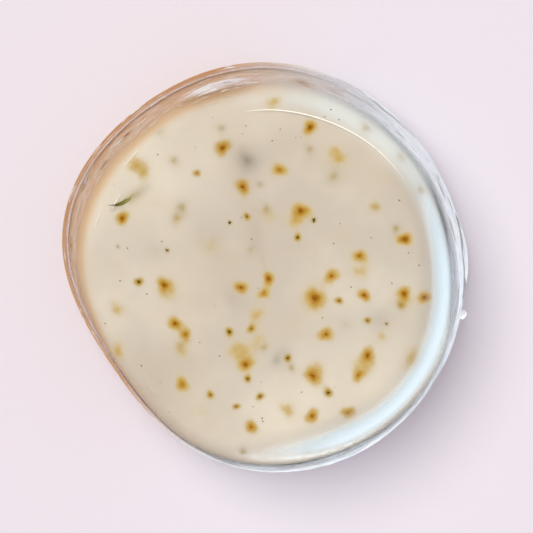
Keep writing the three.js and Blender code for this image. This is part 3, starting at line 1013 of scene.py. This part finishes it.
# %% Crease tree
def crease_tree():
    """Long folds and fine creases that run round the puck, as deep as the film is loose."""
    tree = Tree("crease", {
        "Fold depth": "Float", "Fold grain": "Vector",
        "Crease depth": "Float", "Crease grain": "Vector",
        "Seed": "Float", "Material": "Material",
    })
    given = tree.given.outputs
    place = tree.named("flow", "FLOAT_VECTOR")
    loose = tree.named("loose")

    def ridged(grain, detail):
        """Noise folded about its middle, so that it has sharp crests."""
        noise = tree.node("ShaderNodeTexNoise", {"noise_dimensions": "4D"}, {
            "Vector": tree.vector("MULTIPLY", place, given[grain]), "W": given["Seed"],
            "Scale": 1.0, "Detail": detail, "Roughness": 0.55, "Distortion": 0.4})
        centred = tree.maths("SUBTRACT", noise, 0.5)
        folded = tree.maths("MULTIPLY", tree.maths("ABSOLUTE", centred, 0.0), 4.0)
        return tree.maths("SUBTRACT", 1.0, folded)

    fold = tree.maths("MULTIPLY", ridged("Fold grain", 1.0), given["Fold depth"])
    fine = ridged("Crease grain", 3.0)
    crease = tree.maths("MULTIPLY", fine, given["Crease depth"])
    depth = tree.maths("MULTIPLY", tree.maths("ADD", fold, crease), loose)
    normal = tree.node("GeometryNodeInputNormal")
    moved = tree.node("GeometryNodeSetPosition", {}, {
        "Geometry": given["Geometry"], "Offset": tree.vector("SCALE", normal, depth, "Scale")})
    stored = tree.node("GeometryNodeStoreNamedAttribute", {"data_type": "FLOAT", "domain": "POINT"}, {
        "Geometry": moved, "Name": "crease", "Value": tree.maths("MULTIPLY", fine, loose)})
    tree.close(stored)
    return tree


# %% Film material
# Painted light on the clear film: reflection of the window, its glow, shade in creases and warm tan
# reflection.
PAINTED_WINDOW_WHITE = rgb(246, 252, 255)
PAINTED_GLOW_BLUE = rgb(228, 243, 249)
PAINTED_TAN_FILM = rgb(226, 186, 146)
PAINTED_TAN_EDGE = rgb(204, 158, 114)
PAINTED_TROUGH_SHADE = rgb(221, 229, 236)
PAINTED_CREASE_SHADE = rgb(150, 144, 140)

clear = new_finish("clear_film")
crest = clear.attribute("crease").clamped()
slackness = clear.attribute("loose")
edge = clear.attribute("edge")
painted_tan_side = clear.attribute("painted_tan")
flow = clear.attribute("flow", "Vector")
fine_streaks = clear.noise(1.0, 4.0, 0.65, clear.stretched((230.0, 230.0, 2900.0), flow))
crease_shade_noise = clear.noise(1.0, 2.0, 0.5, clear.stretched((90.0, 90.0, 1300.0), flow))
streaks = (fine_streaks.smooth(0.42, 0.56) * 0.65 + crest.smooth(0.25, 0.75) * 0.6).clamped()
# Painted shade: thin dark lines in the creases of the loose film.
painted_crease_lines = crease_shade_noise.smooth(0.57, 0.63) * slackness
# Painted sheen: thin pale highlight threads along the loose film on the tan side.
painted_sheen = fine_streaks.smooth(0.55, 0.66) * painted_tan_side * slackness.smooth(0.02, 0.18) * 0.6
veil = slackness * (streaks * 0.40 + 0.66) + painted_sheen
seam_veil = edge * (0.70 + painted_tan_side * 0.20)
milky = (veil + clear.attribute("painted_window_glow") * 0.80 + seam_veil).clamped()
facing = clear.node("ShaderNodeLayerWeight", {}, {"Blend": 0.5}, "Facing")
gleam = facing ** 5.0 * (0.08 + slackness * 0.3) + 0.006
cover = (gleam + milky * 0.85).clamped()
film_bump = clear.bump(fine_streaks, 0.5, 0.00025)
# Painted reflection of the window on the crumpled film: bright on the streaks, painted shade in the
# troughs between them.
tone = clear.mix((streaks + 1.0 - slackness).clamped(), PAINTED_TROUGH_SHADE, PAINTED_WINDOW_WHITE)
tone = clear.mix(painted_crease_lines * 0.8, tone, PAINTED_CREASE_SHADE)
# Painted pale-blue glow of the window over the shoulder.
tone = clear.mix(clear.attribute("painted_window_glow").smooth(0.05, 0.6), tone, PAINTED_GLOW_BLUE)
# Painted warm reflection on the tan side: tan, darker at the seam's edge, crossed by painted sheen.
painted_tan_tone = clear.mix((painted_sheen * 1.8).clamped(), clear.mix(edge, PAINTED_TAN_FILM, PAINTED_TAN_EDGE), PAINTED_WINDOW_WHITE)
tone = clear.mix(painted_tan_side * (1.0 - slackness.smooth(0.3, 0.9) * 0.7), tone, painted_tan_tone)
web_surface = clear.surface({
    "Base Color": tone,
    "Metallic": 1.0 - milky.smooth(0.0, 0.30),
    "Roughness": 0.10 + milky * 0.35,
    "Normal": film_bump,
})
clear.finish(clear.node("ShaderNodeMixShader", {}, {
    0: cover, 1: clear.node("ShaderNodeBsdfTransparent"), 2: web_surface}))

# %% Crease both webs
FOLD_DEPTH = 0.45
FOLD_GRAIN = (60.0, 60.0, 420.0)
CREASE_DEPTH = 0.20
CREASE_GRAIN = (170.0, 170.0, 1500.0)

creases = crease_tree()
for web, seed in ((film_cap, 3.1), (film_cup, 8.4)):
    web.data = creases.made_from(web, {
        "Fold depth": FOLD_DEPTH * MM, "Fold grain": FOLD_GRAIN,
        "Crease depth": CREASE_DEPTH * MM, "Crease grain": CREASE_GRAIN,
        "Seed": seed, "Material": clear.owner})
    thickness = web.modifiers.new("thickness", "SOLIDIFY")
    thickness.thickness = FILM * MM
    thickness.offset = 1
    print(web.name, "triangles", sum(len(p.vertices) - 2 for p in web.data.polygons))

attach(film_cap, "upper_film")
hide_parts("shrink_film_top")
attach(film_cup, "lower_film")
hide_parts("shrink_film_bottom")

# %% [markdown]
# ## Pleats and a melted bead
# Here and there the shrinking film kept a thin pleat: one long arc where the flat face turns
# down at the upper right, short ones on the tan side, and the lips of the loose flap. A pleat is
# a curve with a round section that tapers at both ends, so a node tree sweeps them all. The hot
# wire left a bead of melted film where it closed the seam.

# %% Pleats
LIP_IN = 0.15
LIP_RISE = 0.22
PLEAT_RISE = 0.06
WANDER = 0.05
PLEAT_SIDES = 8
GLINT = (*rgb(255, 250, 238), 1)


def pleat_tree():
    """A round section swept along a curve, thinning away at both ends."""
    tree = Tree("pleat", {"Radius": "Float", "Sides": "Int", "Material": "Material"})
    given = tree.given.outputs
    along = tree.node("GeometryNodeSplineParameter", output="Factor")
    both = tree.maths("MULTIPLY", along, tree.maths("SUBTRACT", 1.0, along))
    bulge = tree.maths("POWER", tree.maths("MULTIPLY", both, 4.0), 0.6)
    taper = tree.maths("MULTIPLY", bulge, given["Radius"])
    sized = tree.node("GeometryNodeSetCurveRadius", {}, {"Curve": given["Geometry"], "Radius": taper})
    section = tree.node("GeometryNodeCurvePrimitiveCircle", {}, {
        "Resolution": given["Sides"], "Radius": 1.0})
    swept = tree.node("GeometryNodeCurveToMesh", {}, {
        "Curve": sized, "Profile Curve": section, "Scale": tree.node("GeometryNodeInputRadius"),
        "Fill Caps": True})
    tree.close(swept)
    return tree


def shoulder_at(radius):
    """The height of the film's outside over the soap's shoulder at a radius."""
    order = np.argsort(upper_side[:, 0])
    return float(np.interp(radius, upper_side[order, 0], upper_side[order, 1]))


def arc_curve(start, end, reach):
    """A curve over the shoulder at a radius, or along the seam's edge where there is none."""
    turns = np.radians(np.linspace(start, end, max(8, int(abs(end - start) * 0.8))))
    if reach is None:
        radius = FLANGE_RADIUS + outline(turns) + FLAP_EXTRA * hump(turns, FLAP_AT, FLAP_REACH) - LIP_IN
        height = SEAM + fin_wave(turns) + LIP_RISE
    else:
        radius = np.full(len(turns), reach)
        height = np.full(len(turns), shoulder_at(reach) + PLEAT_RISE)
    radius = radius + WANDER * np.sin(9 * turns)
    points = np.stack([radius * np.cos(turns), radius * np.sin(turns), height], axis=1)
    curve = bpy.data.curves.new("pleat_path", "CURVE")
    curve.dimensions = "3D"
    spline = curve.splines.new("POLY")
    spline.points.add(len(points) - 1)
    for point, place in zip(spline.points, (points + AXIS) * MM):
        point.co = (*place, 1)
    return link(curve, "pleat_path")


# Painted highlight: the pleats are white, mostly opaque and glow faintly through emission, standing in
# for glints of light.
glowing_lip = new_finish("film_pleat")
glint = glowing_lip.noise(700.0, 2.0, 0.5)
glowing_lip.finish(glowing_lip.node("ShaderNodeMixShader", {}, {
    0: glint.smooth(0.2, 0.5) * 0.25 + 0.68,
    1: glowing_lip.node("ShaderNodeBsdfTransparent"),
    2: glowing_lip.surface({
        "Base Color": GLINT, "Roughness": glint * 0.2 + 0.2,
        "Emission Color": GLINT, "Emission Strength": 0.12})}))

# Start and end in degrees, radius over the face or None for the seam's edge, and thickness.
PLEATS = [
    (36, 98, RIDGE_RADIUS, 0.11), (149, 156, RIDGE_RADIUS + 0.3, 0.045),
    (134, 142, RIDGE_RADIUS + 2.4, 0.045), (158, 163, RIDGE_RADIUS + 2.0, 0.05),
    (-11, 26, None, 0.13), (-75, -16, None, 0.12), (28, 78, None, 0.09),
]
pleats = pleat_tree()
for number, (start, end, reach, thick) in enumerate(PLEATS, 1):
    path = arc_curve(start, end, reach)
    swept = pleats.made_from(path, {
        "Radius": thick * MM, "Sides": PLEAT_SIDES, "Material": glowing_lip.owner})
    bpy.data.objects.remove(path)
    lip = link(swept, f"film_pleat_{number}")
    lip.data.polygons.foreach_set("use_smooth", [True] * len(lip.data.polygons))
    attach(lip, "upper_film")
    print(lip.name, "triangles", sum(len(p.vertices) - 2 for p in swept.polygons))

# %% Melted bead
BEAD_ANGLE = math.radians(-13.5)
BEAD_RADIUS = 0.85
BEAD_OUT = 0.25
BEAD_RISE = 0.75
BEAD_RINGS = 14
BEAD_SHAPE = np.array([0.85, 1.15, 0.85])

reach = FLANGE_RADIUS + outline(BEAD_ANGLE) + BEAD_OUT
bead_middle = np.array([reach * math.cos(BEAD_ANGLE), reach * math.sin(BEAD_ANGLE), SEAM + BEAD_RISE])
rise = np.linspace(-np.pi / 2, np.pi / 2, BEAD_RINGS + 2)[1:-1, None]
lumpy = BEAD_RADIUS * (1 + 0.08 * np.sin(2 * TURNS + 1) + 0.06 * np.sin(3 * TURNS + rise * 2))
ball = np.stack([
    lumpy * np.cos(rise) * np.cos(TURNS),
    lumpy * np.cos(rise) * np.sin(TURNS),
    lumpy * np.sin(rise) * np.ones_like(TURNS)], axis=-1)
bead_end = np.array([0, 0, BEAD_SHAPE[2] * BEAD_RADIUS])
bead_rings = bead_middle + BEAD_SHAPE * ball
bead = skin("melted_bead", bead_rings, bead_middle - bead_end, bead_middle + bead_end)
melt = new_finish("melted_film")
ripple = melt.noise(900.0, 3.0, 0.5)
melt.finish(melt.surface({
    "Base Color": melt.mix(ripple, rgb(244, 246, 248), rgb(252, 252, 252)),
    "Roughness": ripple * 0.15 + 0.12, "Subsurface Weight": 0.3, "Subsurface Scale": 0.001,
    "Normal": melt.bump(ripple, 0.3, 0.0003)}))
bead.data.materials.append(melt.owner)
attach(bead, "upper_film")
print("bead at", bead_middle.round(1))
